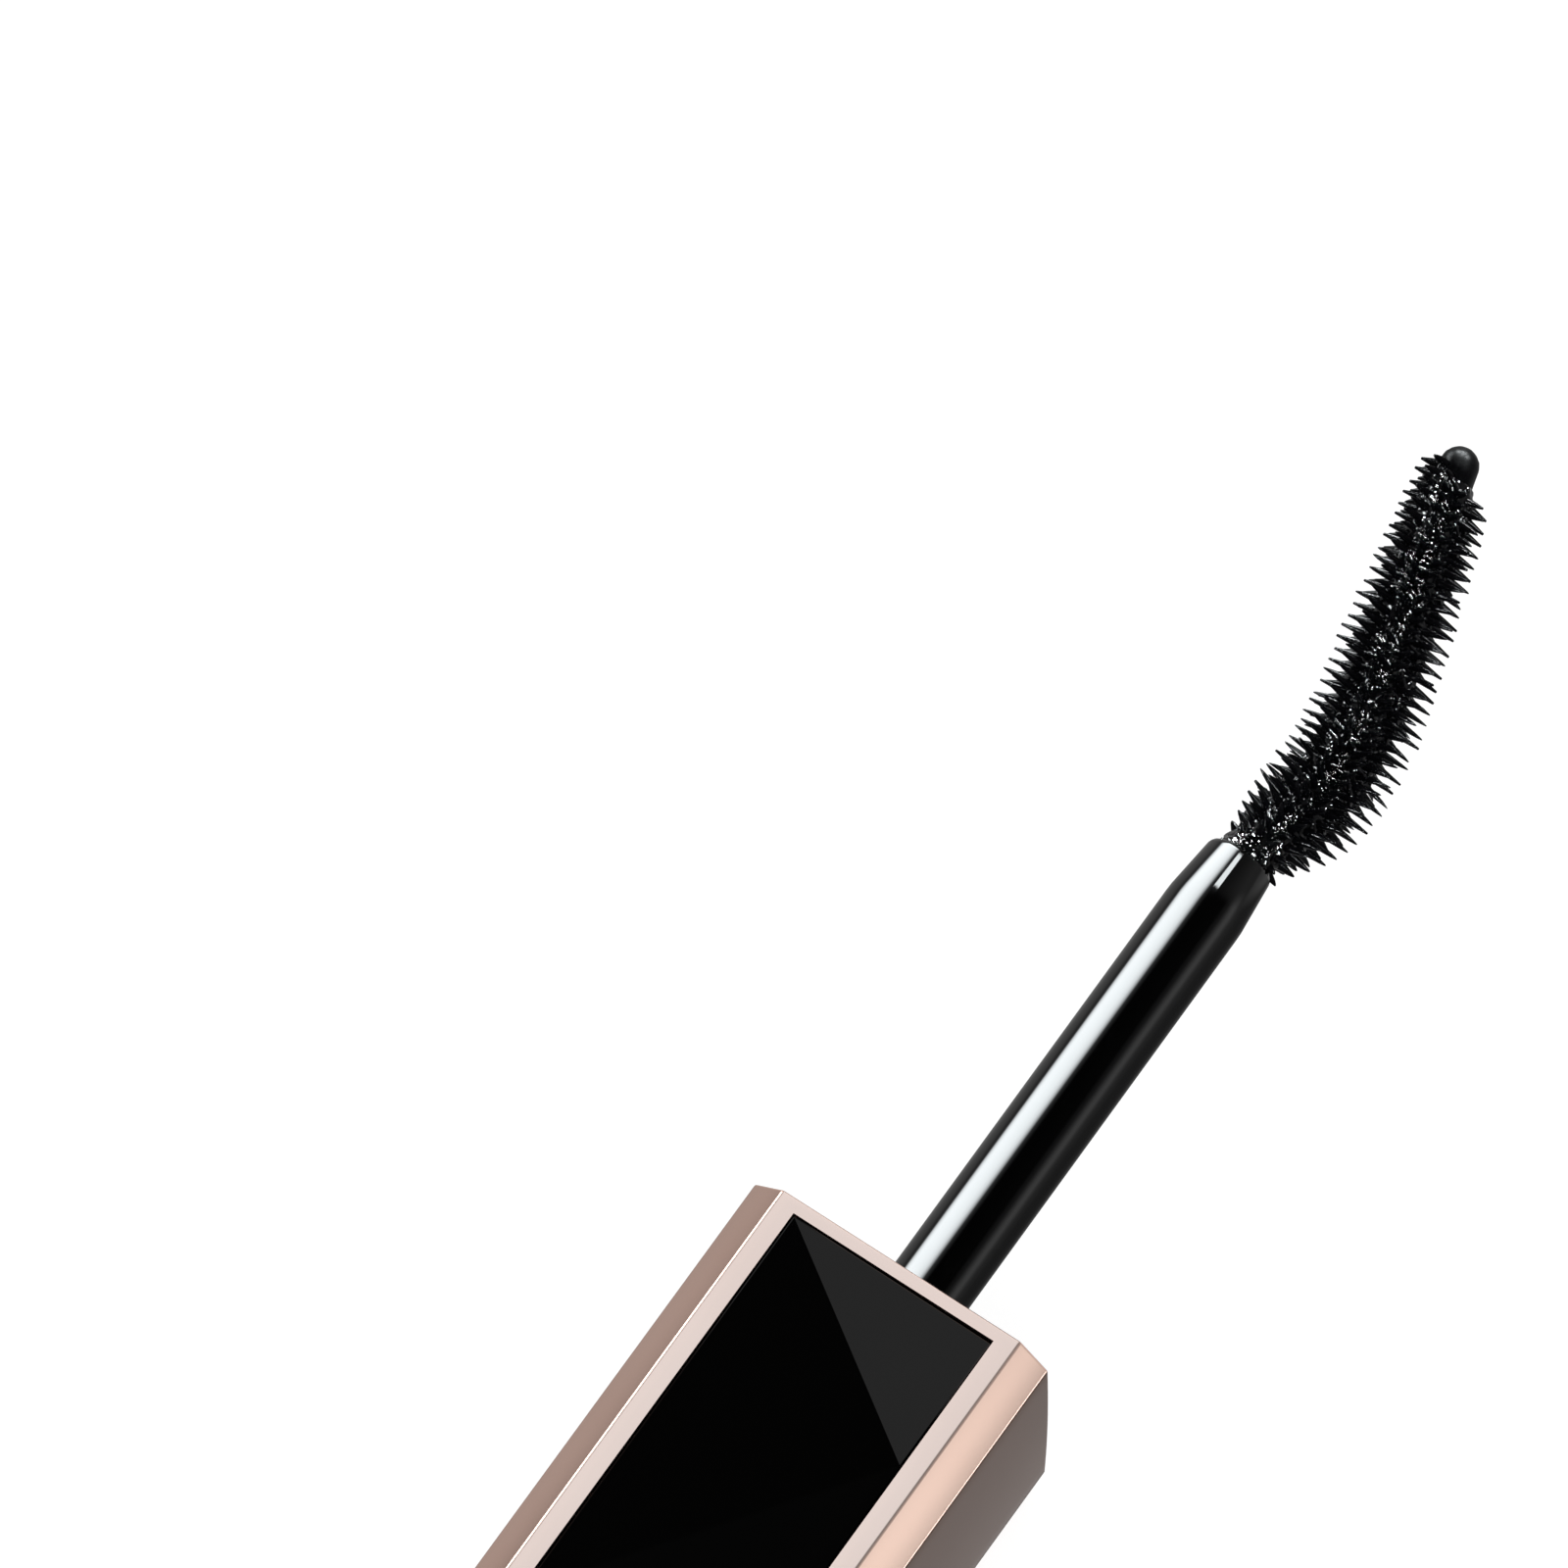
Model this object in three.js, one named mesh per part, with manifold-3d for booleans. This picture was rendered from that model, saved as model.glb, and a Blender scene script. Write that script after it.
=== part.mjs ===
// Mascara tube lying open: a square cap with its rod and curved moulded brush, and the square bottle
// that it screws into. Millimetres, +Z up. Everything is built round one axis (local +Z, from the cap
// towards the brush tip, local +Y being the front) and then laid along +X.
import * as THREE from "three";
import { mergeVertices } from "three/addons/utils/BufferGeometryUtils.js";
import Module from "manifold-3d";

// ---- driving dimensions -------------------------------------------------------------------------
const SIDE = 18.0; // across the square
const CHAMFER = 1.72; // long corner chamfers
const BULGE = 0.15; // how much the left and right sides swell
const WALL = 1.6;
const CAP_LENGTH = 52;
const BOTTLE_LENGTH = 65;
const TRAVEL = 87; // how far the wand slides out of the bottle
const SEAT_GAP = 0.3; // between cap and bottle when closed

const PANEL = { width: 12.1, margin: 0.77, recess: 1.0, play: 0.08, relief: 0.3 };
const CREASES = [0, 8.1, 24, 37]; // along the panel from its neck end, alternately left and right

const ROD = { r: 2.2, tipR: 1.88, reach: 30.8, taper: 3.25, root: 32, socketR: 1.1, socketDepth: 4.2 };
const BRUSH = { length: 25.55, startDeg: 18, endDeg: -15, bend: 7, coreR: 1.05, shankR: 0.98, shank: 3.9 };
const BRISTLE = { rows: 21, perRow: 8, baseR: 0.24, longest: 3.3, first: 1.6, grow: 0.45, fall: 1.3 };

const NECK = { rim: 13.6, r: 4.8, bore: 3.75, bodyR: 6.6, bodyBore: 5.5, floor: 61.2, base: 60 };
const THREAD = { pitch: 2.4, turns: 1.5, start: 10.5, crest: 5.4, minor: 4.95, width: 0.95, tip: 0.4 };
const LINER = { r: 7.2, bore: 5.75, depth: 14.8, length: 34 };
const GASKET = { from: -14.7, to: -14.0, r: 4.75, hole: 2.32 };
const SEG = 40; // facets round a turned piece

// ---- small tools --------------------------------------------------------------------------------
const wasm = await Module();
wasm.setup();

const material = (color, roughness, metalness) =>
  new THREE.MeshStandardMaterial({ color, roughness, metalness });
const LOOK = {
  roseGold: material(0xd9b8a8, 0.28, 1),
  blackGloss: material(0x08080a, 0.12, 0),
  blackMatte: material(0x151517, 0.55, 0),
  steel: material(0x8d9094, 0.4, 1),
  rubber: material(0x2b2b2d, 0.7, 0),
  softGrey: material(0x3a3a3e, 0.5, 0),
  label: material(0xe9e7e3, 0.6, 0),
};

// A geometry as a manifold solid, turned right side out when its faces point in.
function solid(geometry) {
  let g = geometry.clone();
  g.deleteAttribute("normal");
  g.deleteAttribute("uv");
  g = mergeVertices(g, 1e-4);
  const make = (triVerts) =>
    new wasm.Manifold(
      new wasm.Mesh({ numProp: 3, vertProperties: g.attributes.position.array, triVerts }),
    );
  const index = new Uint32Array(g.index.array);
  const made = make(index);
  if (made.volume() > 0) return made;
  for (let i = 0; i < index.length; i += 3) [index[i], index[i + 1]] = [index[i + 1], index[i]];
  return make(index);
}

// A solid (or a plain geometry) as a named mesh.
function piece(name, shape, look) {
  const mesh = (shape.getMesh ? shape : solid(shape)).getMesh();
  const g = new THREE.BufferGeometry();
  g.setAttribute("position", new THREE.BufferAttribute(mesh.vertProperties, 3));
  g.setIndex(new THREE.BufferAttribute(mesh.triVerts, 1));
  g.computeVertexNormals();
  const made = new THREE.Mesh(g, look);
  made.name = name;
  return made;
}

// A solid of revolution round local +Z from [radius, z] points that start and end on the axis.
const turned = (points, segments = SEG) =>
  new THREE.LatheGeometry(points.map(([r, z]) => new THREE.Vector2(r, z)), segments).rotateX(
    Math.PI / 2,
  );
const disc = (r, from, to, segments) =>
  turned([[0, from], [r, from], [r, to], [0, to]], segments);

// An outline drawn in the local XY plane, pushed along local +Z.
function prism(outline, from, to) {
  const shape = new THREE.Shape(outline.map(([x, y]) => new THREE.Vector2(x, y)));
  const g = new THREE.ExtrudeGeometry(shape, { depth: to - from, bevelEnabled: false });
  return g.translate(0, 0, from);
}

// The chamfered square, its left and right sides swelling by `bulge` at mid height.
function outline(half, chamfer, bulge = 0, steps = 6) {
  const flat = half - chamfer;
  const side = (sign) => {
    const out = [];
    for (let i = 0; i <= steps; i++) {
      const t = (2 * i) / steps - 1;
      out.push([sign * (half - bulge * t * t), sign * t * flat]);
    }
    return out;
  };
  const steady = bulge ? side : (s) => [[s * half, -s * flat], [s * half, s * flat]];
  return [...steady(1), [flat, half], [-flat, half], ...steady(-1), [-flat, -half], [flat, -half]];
}

// A right-hand thread ridge: a tapered section swept round a helix, its two ends sunk to nothing.
function ridge(rootR, crestR, from) {
  const { pitch, turns, width, tip } = THREAD;
  const steps = Math.round(turns * 32);
  const position = [], index = [];
  for (let i = 0; i <= steps; i++) {
    const angle = (i / steps) * turns * 2 * Math.PI;
    const z = from + (pitch * angle) / (2 * Math.PI);
    const fade = Math.min(1, (Math.min(i, steps - i) + 0.6) / 4);
    const crest = rootR + (crestR - rootR) * fade;
    const section = [[rootR, -width / 2], [crest, -tip / 2], [crest, tip / 2], [rootR, width / 2]];
    for (const [r, dz] of section) position.push(r * Math.cos(angle), r * Math.sin(angle), z + dz);
  }
  for (let i = 0; i < steps; i++)
    for (let k = 0; k < 4; k++) {
      const a = 4 * i + k, b = 4 * i + ((k + 1) % 4);
      index.push(a, b, b + 4, a, b + 4, a + 4);
    }
  const last = 4 * steps;
  index.push(0, 2, 1, 0, 3, 2, last, last + 1, last + 2, last, last + 2, last + 3);
  const g = new THREE.BufferGeometry();
  g.setAttribute("position", new THREE.Float32BufferAttribute(position, 3));
  return g.setIndex(index);
}

// ---- shells and their inset panels --------------------------------------------------------------
const panelLength = (length) => length - 2 * PANEL.margin;

// Cuts the shallow pocket of the front face.
function withPocket(shell, length) {
  const depth = PANEL.recess + 1;
  const cutter = new THREE.BoxGeometry(PANEL.width, depth, panelLength(length));
  cutter.translate(0, SIDE / 2 - PANEL.recess + depth / 2, 0);
  return (middle) => shell.subtract(solid(cutter.clone().translate(0, 0, middle)));
}

function capShell() {
  const cavity = prism(outline(SIDE / 2 - WALL, 1.3), -CAP_LENGTH + WALL, 1);
  const shell = solid(prism(outline(SIDE / 2, CHAMFER, BULGE), -CAP_LENGTH, 0));
  return withPocket(shell.subtract(solid(cavity)), CAP_LENGTH)(-CAP_LENGTH / 2);
}

const SHELL_LENGTH = BOTTLE_LENGTH - 1.05; // the base plug closes the rest

function bottleShell() {
  const cavity = prism(outline(SIDE / 2 - WALL, 1.3), -1, SHELL_LENGTH + 1);
  const shell = solid(prism(outline(SIDE / 2, CHAMFER, BULGE), 0, SHELL_LENGTH));
  return withPocket(shell.subtract(solid(cavity)), SHELL_LENGTH)(SHELL_LENGTH / 2);
}

// A plate whose front is folded along a zigzag of creases. `neckEnd` is where the plate starts and
// `sense` (+1 or -1) is the way it runs from there.
function facetedPanel(length, neckEnd, sense) {
  const half = PANEL.width / 2 - PANEL.play;
  const total = panelLength(length) - 2 * PANEL.play;
  const back = SIDE / 2 - PANEL.recess + PANEL.play;
  const front = SIDE / 2 - 0.04;
  const at = (x, run, drop) => [x, front - drop, neckEnd + sense * (PANEL.margin + PANEL.play + run)];
  // left rail (local +X), then right rail, each from the neck end to the far end
  const left = [at(half, 0, 0)], right = [at(-half, 0, PANEL.relief)];
  CREASES.slice(1).forEach((run, i) =>
    i % 2 ? left.push(at(half, run, 0.7 * PANEL.relief)) : right.push(at(-half, run, 0)),
  );
  left.push(at(half, total, PANEL.relief));
  right.push(at(-half, total, 0));
  const under = ([x, , z]) => [x, back, z];
  const position = [...left, ...right, ...left.map(under), ...right.map(under)].flat();
  const l = (i) => i, r = (i) => left.length + i, n = left.length + right.length;
  const index = [];
  // front facets, crossing from rail to rail
  let i = 0, j = 0;
  while (i < left.length - 1 || j < right.length - 1) {
    if (j <= i && j < right.length - 1) index.push(l(i), r(j), r(++j));
    else index.push(l(i), r(j), l(++i));
  }
  const faces = index.length;
  for (let k = 0; k < faces; k += 3) index.push(index[k] + n, index[k + 2] + n, index[k + 1] + n);
  const loop = [...left.map((_, k) => l(k)), ...right.map((_, k) => r(k)).reverse()];
  loop.forEach((a, k) => {
    const b = loop[(k + 1) % loop.length];
    index.push(a, b, b + n, a, b + n, a + n);
  });
  const g = new THREE.BufferGeometry();
  g.setAttribute("position", new THREE.Float32BufferAttribute(position, 3));
  return g.setIndex(index);
}

// ---- the wand -----------------------------------------------------------------------------------
function innerCap() {
  const { r, bore, depth, length } = LINER;
  const body = solid(disc(r, -length, -0.8));
  const key = solid(prism(outline(SIDE / 2 - WALL - 0.1, 1.3), -2.4, -0.8));
  const farKey = solid(prism(outline(SIDE / 2 - WALL - 0.1, 1.3), -length, -length + 1.6));
  const mouth = solid(disc(bore, -depth, 0));
  const socket = solid(disc(ROD.r + 0.12, -length - 1, -depth + 1));
  const female = solid(
    ridge(bore + 0.25, THREAD.minor, -THREAD.start + SEAT_GAP).rotateZ(Math.PI),
  );
  const rim = solid(disc(bore + 0.9, -depth, -1.0)).subtract(solid(disc(bore - 1.2, -depth - 1, 0)));
  const threadOnly = female.intersect(rim);
  return body.add(key).add(farKey).subtract(mouth).subtract(socket).add(threadOnly);
}

function rod() {
  const { r, tipR, reach, taper, root, socketR, socketDepth } = ROD;
  return turned([
    [0, -root], [r - 0.5, -root], [r, -root + 0.8], [r, reach - taper],
    [tipR + 0.05, reach - 0.45], [tipR - 0.28, reach],
    [socketR, reach], [socketR, reach - socketDepth], [0, reach - socketDepth],
  ]);
}

// The brush's middle line in the local XZ plane: it leaves the rod's axis at startDeg, bends over
// within about `bend` of the rod and runs on nearly straight at endDeg.
const SPINE = (() => {
  const { length, startDeg, endDeg, bend } = BRUSH;
  const step = 0.05, line = [{ x: 0, z: ROD.reach, angle: 0 }];
  for (let s = 0; s < length; s += step) {
    const { x, z } = line.at(-1);
    const degrees = endDeg + (startDeg - endDeg) * Math.exp(-((s / bend) ** 2));
    const angle = THREE.MathUtils.degToRad(degrees);
    line.push({ x: x + step * Math.sin(angle), z: z + step * Math.cos(angle), angle });
  }
  return (s) => line[Math.max(1, Math.min(line.length - 1, Math.round(s / step)))];
})();

// Circles swept along the middle line and closed by a round tip.
function brushCore() {
  const { length, coreR } = BRUSH;
  const around = 16, position = [], index = [];
  const rings = [[0, coreR * 0.9], [0.5, coreR]];
  for (let s = 2.5; s < length - 1.2; s += 2.2) rings.push([s, coreR]);
  for (let k = 0; k <= 4; k++) {
    const bend = (k / 5) * (Math.PI / 2);
    rings.push([length - coreR + coreR * Math.sin(bend), coreR * Math.cos(bend)]);
  }
  for (const [s, r] of rings) {
    const { x, z, angle } = SPINE(s);
    for (let k = 0; k < around; k++) {
      const a = (k / around) * 2 * Math.PI;
      const across = r * Math.cos(a);
      position.push(-(x + across * Math.cos(angle)), r * Math.sin(a), z - across * Math.sin(angle));
    }
  }
  const first = SPINE(0), last = SPINE(length);
  position.push(-first.x, 0, first.z, -last.x, 0, last.z);
  const start = rings.length * around, end = start + 1;
  for (let i = 0; i < rings.length - 1; i++)
    for (let k = 0; k < around; k++) {
      const a = i * around + k, b = i * around + ((k + 1) % around);
      index.push(a, b, b + around, a, b + around, a + around);
    }
  for (let k = 0; k < around; k++) {
    const next = (k + 1) % around, top = (rings.length - 1) * around;
    index.push(start, next, k, end, top + k, top + next);
  }
  const g = new THREE.BufferGeometry();
  g.setAttribute("position", new THREE.Float32BufferAttribute(position, 3));
  return g.setIndex(index);
}

// One moulded piece: core, pointed bristles in rows across the rod's axis, and the shank that the
// rod holds. The bristles are fewer and thicker than life; the drawn brush carries the real count.
function brush() {
  let made = solid(brushCore());
  const { shankR, shank } = BRUSH;
  made = made.add(solid(disc(shankR, ROD.reach - shank, ROD.reach + 1.0, 16)));
  const { rows, perRow, baseR, longest, first, grow, fall } = BRISTLE;
  const spikes = [];
  for (let row = 0; row < rows; row++) {
    const s = 1.2 + (row / (rows - 1)) * (BRUSH.length - 3.3);
    const { x, z } = SPINE(s);
    const length = Math.min(first + grow * s, longest - fall * (s / BRUSH.length) ** 3);
    for (let k = 0; k < perRow; k++) {
      const a = ((k + (row % 2) / 2) / perRow) * 2 * Math.PI;
      const reach = length * (0.94 - 0.06 * Math.cos(a));
      const cone = new THREE.ConeGeometry(baseR, reach, 3, 1);
      cone.translate(0, reach / 2, 0).rotateZ(a - Math.PI / 2).translate(-x, 0, z);
      spikes.push(solid(cone));
    }
  }
  return wasm.Manifold.union([made, ...spikes]);
}

function buildWand() {
  const wand = new THREE.Group();
  wand.add(piece("cap_shell", capShell(), LOOK.roseGold));
  wand.add(piece("cap_front_panel", facetedPanel(CAP_LENGTH, 0, -1), LOOK.blackGloss));
  wand.add(piece("inner_cap", innerCap(), LOOK.blackMatte));
  wand.add(piece("cap_weight", disc(6.6, -50.1, -41), LOOK.steel));
  wand.add(piece("rod", rod(), LOOK.blackGloss));
  const { from, to, r, hole } = GASKET;
  const gasket = turned([[hole, from], [r, from], [r, to], [hole, to], [hole, from]]);
  wand.add(piece("gasket", gasket, LOOK.rubber));
  wand.add(piece("brush", brush(), LOOK.blackMatte));
  return wand;
}

// ---- the bottle ---------------------------------------------------------------------------------
function innerBottle() {
  const { rim, r, bore, bodyR, bodyBore, floor, base } = NECK;
  const body = turned([
    [0, floor], [bodyR - 0.6, floor], [bodyR, floor - 0.6], [bodyR, 1.35], [r, 1.35], [r, -rim + 0.4],
    [r - 0.4, -rim], [bore, -rim], [bore, 2.4], [bodyBore, 4.2], [bodyBore, base - 0.8],
    [bodyBore - 0.8, base], [0, base],
  ]);
  return solid(body).add(solid(ridge(r - 0.3, THREAD.crest, -THREAD.start)));
}

function neckCollar() {
  const plate = solid(prism(outline(SIDE / 2 - WALL - 0.08, 1.3), 0.05, 1.25));
  return plate.subtract(solid(disc(NECK.r + 0.12, -1, 3)));
}

function wiper() {
  const out = NECK.bore - 0.08, rim = NECK.rim;
  return turned([
    [out, -rim - 0.05], [4.55, -rim - 0.05], [4.55, -rim - 0.4], [3.15, -rim - 0.4],
    [3.15, -7], [2.34, -3.6], [2.34, -3.0], [3.0, -3.0], [out, -6.2], [out, -rim - 0.05],
  ]);
}

function mascaraFill() {
  const out = NECK.bodyBore - 0.12, channel = 4.3;
  return turned([
    [0, NECK.base - 0.12], [out - 0.9, NECK.base - 0.12], [out, NECK.base - 1.02], [out, 9],
    [out - 0.5, 8], [channel, 11], [channel, 57.2], [channel - 0.8, 58], [0, 58],
  ]);
}

function basePlug() {
  const plate = solid(prism(outline(SIDE / 2, CHAMFER, BULGE), SHELL_LENGTH + 0.05, BOTTLE_LENGTH));
  const boss = solid(prism(outline(SIDE / 2 - WALL - 0.12, 1.3), 56, SHELL_LENGTH + 0.2));
  const socket = solid(disc(NECK.bodyR + 0.1, 50, NECK.floor + 0.3));
  const recess = solid(disc(6.2, BOTTLE_LENGTH - 0.25, BOTTLE_LENGTH + 1));
  return plate.add(boss).subtract(socket).subtract(recess);
}

function buildBottle() {
  const bottle = new THREE.Group();
  bottle.add(piece("bottle_shell", bottleShell(), LOOK.roseGold));
  bottle.add(piece("bottle_front_panel", facetedPanel(SHELL_LENGTH, 0, 1), LOOK.blackGloss));
  bottle.add(piece("inner_bottle", innerBottle(), LOOK.blackMatte));
  bottle.add(piece("neck_collar", neckCollar(), LOOK.roseGold));
  bottle.add(piece("wiper", wiper(), LOOK.softGrey));
  bottle.add(piece("mascara_fill", mascaraFill(), LOOK.blackGloss));
  bottle.add(piece("base_plug", basePlug(), LOOK.roseGold));
  const label = disc(6.0, BOTTLE_LENGTH - 0.23, BOTTLE_LENGTH - 0.05);
  bottle.add(piece("base_label", label, LOOK.label));
  return bottle;
}

// ---- the whole object, lying open on its back along +X --------------------------------------------
const shoulder = TRAVEL + SEAT_GAP; // the bottle's shoulder plane, from the cap's end plane
const tube = new THREE.Group();
tube.quaternion.setFromRotationMatrix(
  new THREE.Matrix4().makeBasis(
    new THREE.Vector3(0, 1, 0),
    new THREE.Vector3(0, 0, 1),
    new THREE.Vector3(1, 0, 0),
  ),
);
tube.position.set(-(shoulder + BOTTLE_LENGTH - CAP_LENGTH) / 2, 0, SIDE / 2);
const bottle = buildBottle();
bottle.position.z = shoulder;
tube.add(buildWand(), bottle);

const root = new THREE.Group();
root.name = "mascara_tube";
root.add(tube);

export default root;
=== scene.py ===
# %% [markdown]
# # A mascara tube, lying open
# The real object is a square rose-gold cap that holds a polished black rod and a curved moulded
# brush, and the matching bottle it screws onto. The moving parts and their sizes are fixed by the
# engineering model, which is loaded first and never moved. Everything below dresses that model: each
# new piece rides on the body it belongs to, and stands for one node of it.

# %% Load the fixed frame and remember its box
import math
import random

import bmesh
import bpy
from mathutils import Matrix, Vector


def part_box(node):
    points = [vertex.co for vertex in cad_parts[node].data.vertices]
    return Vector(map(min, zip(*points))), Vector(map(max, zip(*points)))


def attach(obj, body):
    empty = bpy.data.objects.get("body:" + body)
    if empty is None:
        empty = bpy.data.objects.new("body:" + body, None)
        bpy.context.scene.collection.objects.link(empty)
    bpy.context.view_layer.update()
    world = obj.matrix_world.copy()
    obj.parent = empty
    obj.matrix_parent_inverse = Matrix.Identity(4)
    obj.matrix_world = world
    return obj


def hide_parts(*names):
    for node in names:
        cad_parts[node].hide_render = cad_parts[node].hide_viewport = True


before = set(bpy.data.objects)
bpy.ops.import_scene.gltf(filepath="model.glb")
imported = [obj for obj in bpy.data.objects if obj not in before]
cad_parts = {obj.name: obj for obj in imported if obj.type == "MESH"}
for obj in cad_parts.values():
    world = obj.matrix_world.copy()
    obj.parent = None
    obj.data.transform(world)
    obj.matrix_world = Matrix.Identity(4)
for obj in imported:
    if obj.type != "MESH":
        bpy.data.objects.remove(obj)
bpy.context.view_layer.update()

print("nodes:", ", ".join(sorted(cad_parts)))

# %% [markdown]
# ## A workbench in millimetres
# A tube this small is easier to think about in millimetres, measured along its own axis. So every
# piece is modelled on a bench where X runs along the axis, Z points out of the black front, and
# X = 0 is the cap's open end. `settle` then scales the finished mesh to metres and carries it to its
# real place, so that the object itself stays at the origin, unturned and unscaled.

# %% Where the bench stands
MM = 0.001
cap_low, cap_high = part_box("cap_shell")
bottle_low, bottle_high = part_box("bottle_shell")
rod_low, rod_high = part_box("rod")
AXIS_HEIGHT = (cap_low.z + cap_high.z) / 2
BENCH = Vector((cap_high.x, 0, AXIS_HEIGHT))
CAP_LENGTH = (cap_high.x - cap_low.x) / MM
SIDE = (cap_high.z - cap_low.z) / MM
SHOULDER = (bottle_low.x - cap_high.x) / MM
SHELL_LENGTH = (bottle_high.x - bottle_low.x) / MM
ROD_R = (rod_high.z - rod_low.z) / MM / 2
ROD_END = (rod_high.x - cap_high.x) / MM
TO_METRES = Matrix.Translation(BENCH) @ Matrix.Scale(MM, 4)
print(f"cap {SIDE:.1f} x {CAP_LENGTH:.1f} mm, shoulder at {SHOULDER:.1f}, rod end at {ROD_END:.1f}")


# %% Settle a finished mesh into the scene
def settle(bm, name, body, node=None, finish=(), sharp=35):
    """Writes a bench mesh as an object that rides on `body`, with its finishes in slot order."""
    bmesh.ops.transform(bm, matrix=TO_METRES, verts=bm.verts)
    mesh = as_mesh(bm, name)
    mesh.shade_smooth()
    mesh.set_sharp_from_angle(angle=math.radians(sharp))
    piece = bpy.data.objects.new(name, mesh)
    bpy.context.scene.collection.objects.link(piece)
    for material in finish:
        mesh.materials.append(material)
    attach(piece, body)
    if node:
        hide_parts(node)
    print(f"{name}: {len(mesh.polygons)} faces")
    return piece


# %% Small modelling helpers
def round_off(bm, edges, width, segments=3):
    """A rounded bevel on these edges."""
    return bmesh.ops.bevel(bm, geom=list(edges), offset=width, offset_type="OFFSET", affect="EDGES",
                           segments=segments, profile=0.5, material=-1, clamp_overlap=True)


def creases(bm, degrees):
    """Edges whose two faces meet at more than this angle."""
    limit = math.radians(degrees)
    return [e for e in bm.edges if len(e.link_faces) == 2 and e.calc_face_angle(0) > limit]


def verts_of(faces):
    return list({v for f in faces for v in f.verts})


def only(kind, geom):
    """The vertices (or edges, or faces) in an operator's mixed result."""
    return [g for g in geom if isinstance(g, kind)]


def grow(bm, edges):
    """Extrudes a ring of edges in place; returns the new ring's vertices and edges."""
    grown = bmesh.ops.extrude_edge_only(bm, edges=edges)["geom"]
    return only(bmesh.types.BMVert, grown), only(bmesh.types.BMEdge, grown)


def sink(bm, faces, shift):
    """Extrudes a patch of faces and moves it, which leaves a pocket behind it."""
    moved = bmesh.ops.extrude_face_region(bm, geom=faces)["geom"]
    bmesh.ops.translate(bm, vec=shift, verts=only(bmesh.types.BMVert, moved))
    bmesh.ops.delete(bm, geom=[f for f in faces if f.is_valid], context="FACES")


def as_mesh(bm, name):
    """The bench mesh as mesh data; the bench mesh is freed."""
    mesh = bpy.data.meshes.new(name)
    bm.to_mesh(mesh)
    bm.free()
    return mesh


# %% [markdown]
# ## Turned pieces
# The rod, the threaded neck and the wiper are round. A toolmaker draws half a section and turns it on
# a lathe, and the spin operator does the same: a short chain of points, one full turn about the axis,
# and the doubled seam merged away.

# %% A lathe
def turned(profile, steps=96):
    """Spins a chain of (x, radius) points round the bench's X axis."""
    bm = bmesh.new()
    points = [bm.verts.new((x, 0, r)) for x, r in profile]
    chain = [bm.edges.new(pair) for pair in zip(points, points[1:])]
    bmesh.ops.spin(bm, geom=points + chain, cent=(0, 0, 0), axis=(1, 0, 0), dvec=(0, 0, 0),
                   angle=math.tau, steps=steps, use_merge=True)
    bmesh.ops.remove_doubles(bm, verts=bm.verts, dist=0.0005)
    bmesh.ops.recalc_face_normals(bm, faces=bm.faces)
    return bm


# %% [markdown]
# ## Shader arithmetic
# Finishes are wired in Python. `Wire` wraps one shader socket, so that adding or multiplying two of
# them adds the Math node that does it. `Finish` holds one material: its `node` method adds any other
# node, and `shade` sends the results to the surface.

# %% A socket that does arithmetic
class Wire:
    def __init__(self, finish, socket):
        self.finish, self.socket = finish, socket

    def math(self, operation, *others):
        return self.finish.node("ShaderNodeMath", {"operation": operation},
                                {0: self, **{i + 1: o for i, o in enumerate(others)}})

    def __add__(self, other): return self.math("ADD", other)
    def __sub__(self, other): return self.math("SUBTRACT", other)
    def __mul__(self, other): return self.math("MULTIPLY", other)
    def __truediv__(self, other): return self.math("DIVIDE", other)
    def __rsub__(self, other): return self.math("MULTIPLY", -1.0).math("ADD", other)
    __radd__, __rmul__ = __add__, __mul__

    def between(self, low, high):
        """0 below `low`, 1 above `high`, smooth in between."""
        return self.finish.node("ShaderNodeMapRange", {"interpolation_type": "SMOOTHSTEP"},
                                {"Value": self, "From Min": low, "From Max": high})


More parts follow.
